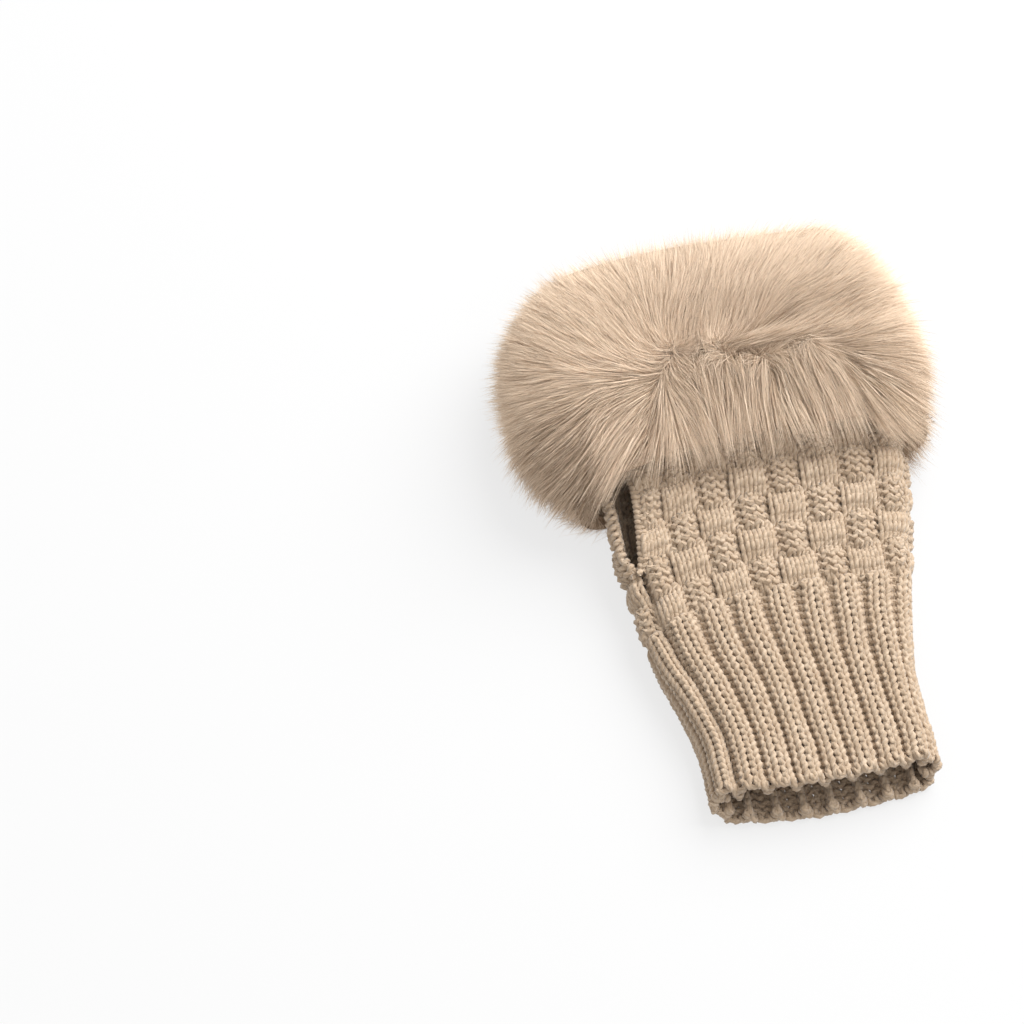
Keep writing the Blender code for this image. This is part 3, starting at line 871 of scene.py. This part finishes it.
def hair_places(count, allowed):
    """Random rows and columns of the cuff's grid, as dense everywhere as the allowed share of the ground."""
    weight = np.cumsum((ground * allowed).ravel())
    cell = np.searchsorted(weight, chance.uniform(0, weight[-1], count))
    row = cell // CUFF_COLUMNS + chance.uniform(0, 1, count)
    column = cell % CUFF_COLUMNS + chance.uniform(0, 1, count)
    return row, column


def nearest_tuft(row, column):
    """The nearest tuft's place and number. Each cell of a lattice on the grid has a tuft somewhere in it."""
    jitter = np.random.default_rng(TUFT_SEED).uniform(*TUFT_ROOM, (TUFT_ROWS, TUFT_COLUMNS, 2))
    tall = CUFF_ROWS / TUFT_ROWS
    wide = CUFF_COLUMNS / TUFT_COLUMNS
    best = np.full(len(row), FAR_OFF)
    found = np.zeros((len(row), 2))
    number = np.zeros(len(row), int)
    for up in (-1, 0, 1):
        for across in (-1, 0, 1):
            cell_row = np.floor(row / tall).astype(int) + up
            cell_column = np.floor(column / wide).astype(int) + across
            inner = jitter[cell_row % TUFT_ROWS, cell_column % TUFT_COLUMNS]
            place = np.stack([(cell_row + inner[:, 0]) * tall, (cell_column + inner[:, 1]) * wide], -1)
            far = ((place[:, 0] - row) / tall) ** 2 + ((place[:, 1] - column) / wide) ** 2
            nearer = far < best
            found[nearer] = place[nearer]
            number[nearer] = ((cell_row % TUFT_ROWS) * TUFT_COLUMNS + cell_column % TUFT_COLUMNS)[nearer]
            best = np.minimum(best, far)
    return found, number


# A hair at four places from its tip back to its root: the place, its depth as a share of the root's, how far
# the tuft draws it, and its width
HAIR_STEPS = (0.0, 0.30, 0.62, 1.0)
HAIR_DEPTHS = (0.0, 0.22, 0.62, 1.0)
HAIR_GATHER = (1.0, 0.62, 0.22, 0.0)
HAIR_WIDTHS = (0.0, 0.75, 1.0, 0.8)
# Its seven points, each with the number of its place, and the corners of its three faces
POINT_STEPS = (0, 1, 1, 2, 2, 3, 3)
FACE_CORNERS = (0, 2, 1, 1, 2, 4, 3, 3, 4, 6, 5)
FACE_STARTS = (0, 3, 7)
# From the least to the most, by chance
LENGTH_SHARES = (0.65, 1.25)
WIDTH_SHARES = (0.6, 1.3)
TUFT_PULLS = (0.05, 0.60)
FRINGE_SHARES = (0.45, 1)
# How far hairs lie off the outline by chance, and tufts by their number. The second value of each is added
# over the knitting, in the rows from this start on over this width
OVER_KNIT = (11.5, 2.5)
LIFT_MEAN = -0.0002     # of the chance, in its own spread
HAIR_LIFT = (0.0007, 0.0005)
TUFT_LIFT = (0.0004, 0.0008)
TUFT_TURN = 7.3
IN_LOCKS = 0.87         # the share of the hairs that keep to their locks, and the others are stray
STRAY_LIFT = 0.0020
STRAY_REACH = 0.4
FRIZZ = 0.0015
FRIZZ_BEHIND = 0.5      # and this share of it behind the tip
ROLL = 0.6
# How far a tip reaches ahead: all of them, proud ones and the fringe's
TIP_AHEAD = 0.0003
PROUD_AHEAD = 0.0045
FRINGE_AHEAD = 0.0120
TIP_RISE = 0.0010
ROOT_DEPTH = 0.003      # below the wool's surface
PARTING_SHARE = 0.6     # a step back goes at most this share of the way to the parting
HAIR_LOWEST = 0.0004
# The fringe is the hair over the knitting: the start and width of its rows, of its left and right ends in
# metres across, and of how far it looks up
FRINGE_ROWS = (11.7, 1.1)
FRINGE_LEFT = (-0.050, 0.010)
FRINGE_RIGHT = (0.066, -0.012)
FRINGE_FACING = (-0.7, 0.5)
FRINGE_DROP = 0.65      # how far the fringe's tips fall for each metre that they reach over the knitting
# A hair's shade, added to its place along the hair: its own tone at random, painted shade in creases and
# below the parting, and painted light on the fringe and the sides. The random spread has a part for all
# hairs, one for those below the parting and one for those over the knitting
SHADE_SPREADS = (0.11, 0.07, 0.11)
TUFT_SHADE = 0.05
TUFT_SHADE_TURN = 3.1
# Painted shade: the hairs in the creases between locks are darker
CREASE_SHADE = 0.30
# Painted light: the fringe's hairs over the knitting, which hang in the fur's shadow, are lighter
FRINGE_PAINTED_LIGHT = 0.28
# Painted shade: the hairs below the parting, which face away from the lamp, are darker
BELOW_SHADE = 0.20
BELOW_FADE = 0.015
# Painted light: the hairs grow lighter towards both sides, over this width
SIDE_PAINTED_LIGHT = 0.08
SIDE_PAINTED_LIGHT_FADE = 0.05


def combed_hair(name, count, allowed):
    """A field of flat tapered hairs, each traced back from its tip against the combing and into the wool."""
    row, column = hair_places(count, allowed)
    tuft, number = nearest_tuft(row, column)
    length = HAIR_LENGTH * chance.uniform(*LENGTH_SHARES, count)
    stray = chance.uniform(0, 1, count) > IN_LOCKS
    over_knit = risen(row / CUFF_STEPS, *OVER_KNIT)
    lift = (chance.normal(LIFT_MEAN, 1, count) * (HAIR_LIFT[0] + HAIR_LIFT[1] * over_knit)
            + (TUFT_LIFT[0] + TUFT_LIFT[1] * over_knit) * np.sin(number * TUFT_TURN)
            + STRAY_LIFT * stray)
    pull = chance.uniform(*TUFT_PULLS, count)
    tip = picked(cuff, row, column)
    tip_normal = picked(cuff_normal, row, column)
    in_crease = picked(creased[..., None], row, column)[:, 0]
    lift = lift - CREASE_DEPTH * in_crease
    moved = picked(cuff, row + pull * (tuft[:, 0] - row), column + pull * (tuft[:, 1] - column)) - tip
    out = unit(picked(combed, row, column))
    falling = np.clip(-out[:, 2:], 0, 1)
    out = unit(out + tip_normal * falling)
    proud = chance.uniform(0.0, 1.0, count) ** 2 + STRAY_REACH * stray
    frizz = np.cross(tip_normal, out) * chance.normal(0, FRIZZ, count)[:, None]
    at_fringe = (risen(row / CUFF_STEPS, *FRINGE_ROWS) * risen(tip[:, 0], *FRINGE_LEFT)
                 * risen(tip_normal[:, 2], *FRINGE_FACING) * risen(tip[:, 0], *FRINGE_RIGHT))
    onward = unit(out * (1, 1, 0)) - (0, 0, FRINGE_DROP)
    out = unit(out + (onward - out) * at_fringe[:, None])
    fringe = at_fringe * chance.uniform(*FRINGE_SHARES, count)
    ahead = TIP_AHEAD + PROUD_AHEAD * proud + FRINGE_AHEAD * fringe
    places = [tip + out * ahead[:, None] + tip_normal * (lift + TIP_RISE)[:, None] + frizz]
    normals = [tip_normal]
    gone = np.zeros(count)
    for share, depth in zip(HAIR_STEPS[1:], HAIR_DEPTHS[1:]):
        for half_step in range(2):
            wanted = length * share - gone if half_step else (length * share - gone) / 2
            far = picked(parting_far[..., None], row, column)[:, 0]
            stride = np.minimum(wanted, PARTING_SHARE * far)
            speed = picked(flow, row, column)
            row = row - speed[:, 0] * stride
            column = column - speed[:, 1] * stride
            gone = gone + wanted
        normal = unit(picked(cuff_normal, row, column))
        below = lift * (1 - share) - depth * (WOOL_DEPTH + ROOT_DEPTH)
        behind = frizz * (1 - share) * FRIZZ_BEHIND
        places.append(picked(cuff, row, column) + normal * below[:, None] + behind)
        normals.append(normal)
    path = np.stack([place + moved * share for place, share in zip(places, HAIR_GATHER)], 1)
    path[..., 2] = np.maximum(path[..., 2], HAIR_LOWEST)
    tangent = unit(np.gradient(path, axis=1))
    sideways = unit(np.cross(tangent, np.stack(normals, 1)))
    upright = np.cross(sideways, tangent)
    roll = chance.normal(0, ROLL, count)[:, None, None]
    flat_way = sideways * np.cos(roll) + upright * np.sin(roll)
    half = HAIR_WIDTH / 2 * chance.uniform(*WIDTH_SHARES, count)[:, None, None]
    half = half * np.array(HAIR_WIDTHS)[None, :, None]
    edges = np.stack([(path - flat_way * half)[:, 1:], (path + flat_way * half)[:, 1:]], 2)
    points = np.concatenate([path[:, :1], edges.reshape(count, -1, 3)], 1)
    hair = np.arange(count)[:, None]
    mesh = smooth_mesh(name, points, hair * len(POINT_STEPS) + np.array(FACE_CORNERS),
                       hair * len(FACE_CORNERS) + np.array(FACE_STARTS), soft_fur)
    along = 1 - np.array(HAIR_STEPS)[list(POINT_STEPS)]
    # The share of a hair below the parting, which widens its random tone and darkens it as painted shade
    under = np.clip((PARTING[3][1] - tip[:, 1]) / BELOW_FADE, 0, 1)
    spread = SHADE_SPREADS[0] + SHADE_SPREADS[1] * under + SHADE_SPREADS[2] * over_knit
    # Random tone, then painted shade in creases and below the parting and painted light on the fringe and
    # sides
    shade = (chance.normal(0, 1, count) * spread + TUFT_SHADE * np.sin(number * TUFT_SHADE_TURN)
             - CREASE_SHADE * in_crease + FRINGE_PAINTED_LIGHT * fringe - BELOW_SHADE * under
             + SIDE_PAINTED_LIGHT * np.clip(np.abs(tip[:, 0]) / SIDE_PAINTED_LIGHT_FADE, 0, 1))
    mesh.attributes.new("along_hair", "FLOAT", "POINT").data.foreach_set("value", np.tile(along, count))
    mesh.attributes.new("hair_tone_and_painted_light", "FLOAT", "POINT").data.foreach_set(
        "value", np.repeat(shade, len(POINT_STEPS)))
    piece = bpy.data.objects.new(name, mesh)
    bpy.context.scene.collection.objects.link(piece)
    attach(piece, "root")
    return piece


# How thick the hair grows: the two upper pieces cover all that looks up, and the third the rest
UPPER_FACING = (-0.6, 0.5)
MIXED_IN = 0.35         # how thick the third grows on the upper side
upper = risen(cuff_normal[..., 2], *UPPER_FACING)
combed_hair("fur_left", HAIRS, upper * (cuff[..., 0] < 0.0))
combed_hair("fur_right", HAIRS, upper * (cuff[..., 0] >= 0.0))
combed_hair("fur_below", HAIRS, MIXED_IN * upper + (1 - upper))

# Floor and light
# A white table under a wide soft light from behind and above, with a weaker one from the front.
FLOOR_SIZE = 6.0
WHITE = (1, 1, 1, 1)
FLOOR_COLOUR = (0.14, 0.14, 0.14, 1)
FLOOR_GLOW = 0.73       # most of the table's white is its own light, which keeps shadows faint
ROOM_LIGHT = 0.65

floor_mesh = bpy.data.meshes.new("floor")
half = FLOOR_SIZE / 2
floor_corners = [(-half, -half, 0), (half, -half, 0), (half, half, 0), (-half, half, 0)]
floor_mesh.from_pydata(floor_corners, [], [(0, 1, 2, 3)])
floor = bpy.data.objects.new("floor", floor_mesh)
bpy.context.scene.collection.objects.link(floor)
white_table = shader_of("white_table", {
    "Base Color": FLOOR_COLOUR,
    "Emission Color": WHITE,
    "Emission Strength": FLOOR_GLOW,
    "Roughness": 0.9,
})[0]
floor_mesh.materials.append(white_table)

room = bpy.data.worlds.new("room")
room.use_nodes = True
room.node_tree.nodes["Background"].inputs["Color"].default_value = WHITE
room.node_tree.nodes["Background"].inputs["Strength"].default_value = ROOM_LIGHT
bpy.context.scene.world = room

# The lamps: name, place, the point it looks at, size and power
LAMPS = (
    ("window_behind", (0.95, 0.65, 1.25), (0.0, 0.0, 0.0), 1.8, 52.0),
    ("window_front", (0.30, -1.10, 1.1), (0.0, 0.0, 0.0), 1.4, 3.0),
)
for name, stand, target, size, power in LAMPS:
    lamp = bpy.data.lights.new(name, "AREA")
    lamp.shape = "DISK"
    lamp.size = size
    lamp.energy = power
    holder = bpy.data.objects.new(name, lamp)
    holder.location = stand
    holder.rotation_euler = (Vector(target) - Vector(stand)).to_track_quat("-Z", "Y").to_euler()
    bpy.context.scene.collection.objects.link(holder)

bpy.context.scene.view_settings.view_transform = "Standard"
